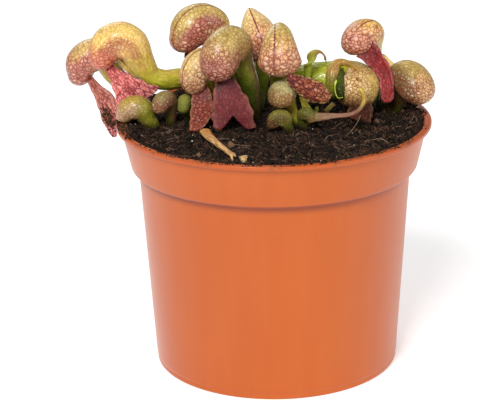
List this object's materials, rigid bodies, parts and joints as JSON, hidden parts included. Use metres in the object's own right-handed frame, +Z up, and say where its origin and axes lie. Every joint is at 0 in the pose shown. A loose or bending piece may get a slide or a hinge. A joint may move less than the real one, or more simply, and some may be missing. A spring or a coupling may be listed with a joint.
{
  "type": "potted carnivorous plant",
  "caption": "Young cobra lily with inflated netted hoods and red forked tongues, growing in dark soil in a round terracotta-coloured plastic nursery pot.",
  "frame": {"origin": "centre of the pot's flat underside, on the surface it stands on", "axes": "+Z up along the pot's axis, +X to the right of the plant's front, +Y from the front to the back"},
  "size_m": [0.107, 0.09, 0.1035],
  "materials": {
    "pot_plastic": "satin terracotta-coloured plastic",
    "soil": "rough dark peat mix",
    "leaf_green": "waxy green leaf",
    "hood_yellow": "waxy yellow-green leaf with red net veins",
    "hood_olive": "waxy olive leaf with brown-red net veins",
    "hood_brown": "waxy brown-green leaf",
    "tongue_red": "waxy red leaf with dark veins",
    "tongue_wine": "dull wine-red leaf",
    "dry_straw": "dry straw",
    "dry_brown": "dry brown leaf",
    "rhizome": "rough brown rhizome and roots"
  },
  "bodies": {
    "root": {"pot": "pot_plastic", "soil": "soil", "rhizome": "rhizome", "pitcher_far_left": "hood_yellow", "pitcher_big_arch": "hood_yellow", "pitcher_low_arch": "hood_brown", "pitcher_small_brown": "hood_brown", "pitcher_small_green": "leaf_green", "pitcher_top_left": "hood_olive", "pitcher_left_hanging": "hood_olive", "pitcher_centre": "hood_olive", "pitcher_pointed": "hood_yellow", "pitcher_front": "hood_olive", "pitcher_small_pale": "hood_olive", "pitcher_small_arch": "leaf_green", "pitcher_small_bulb": "leaf_green", "pitcher_lying": "leaf_green", "pitcher_upper_right": "hood_yellow", "pitcher_far_right": "hood_olive", "pitcher_behind_right": "dry_straw", "tongue_far_left": "tongue_red", "tongue_big_arch": "tongue_red", "tongue_top_left": "tongue_wine", "tongue_left_hanging": "tongue_red", "tongue_centre": "tongue_wine", "tongue_front": "tongue_red", "tongue_small_bulb": "dry_brown", "tongue_lying": "dry_brown", "tongue_upper_right": "tongue_red", "young_leaf_curled": "leaf_green", "young_leaf_leaning": "leaf_green", "dry_stalk": "dry_straw", "dry_stub_middle": "dry_brown", "dry_stub_front": "dry_straw"}
  },
  "joints": []
}
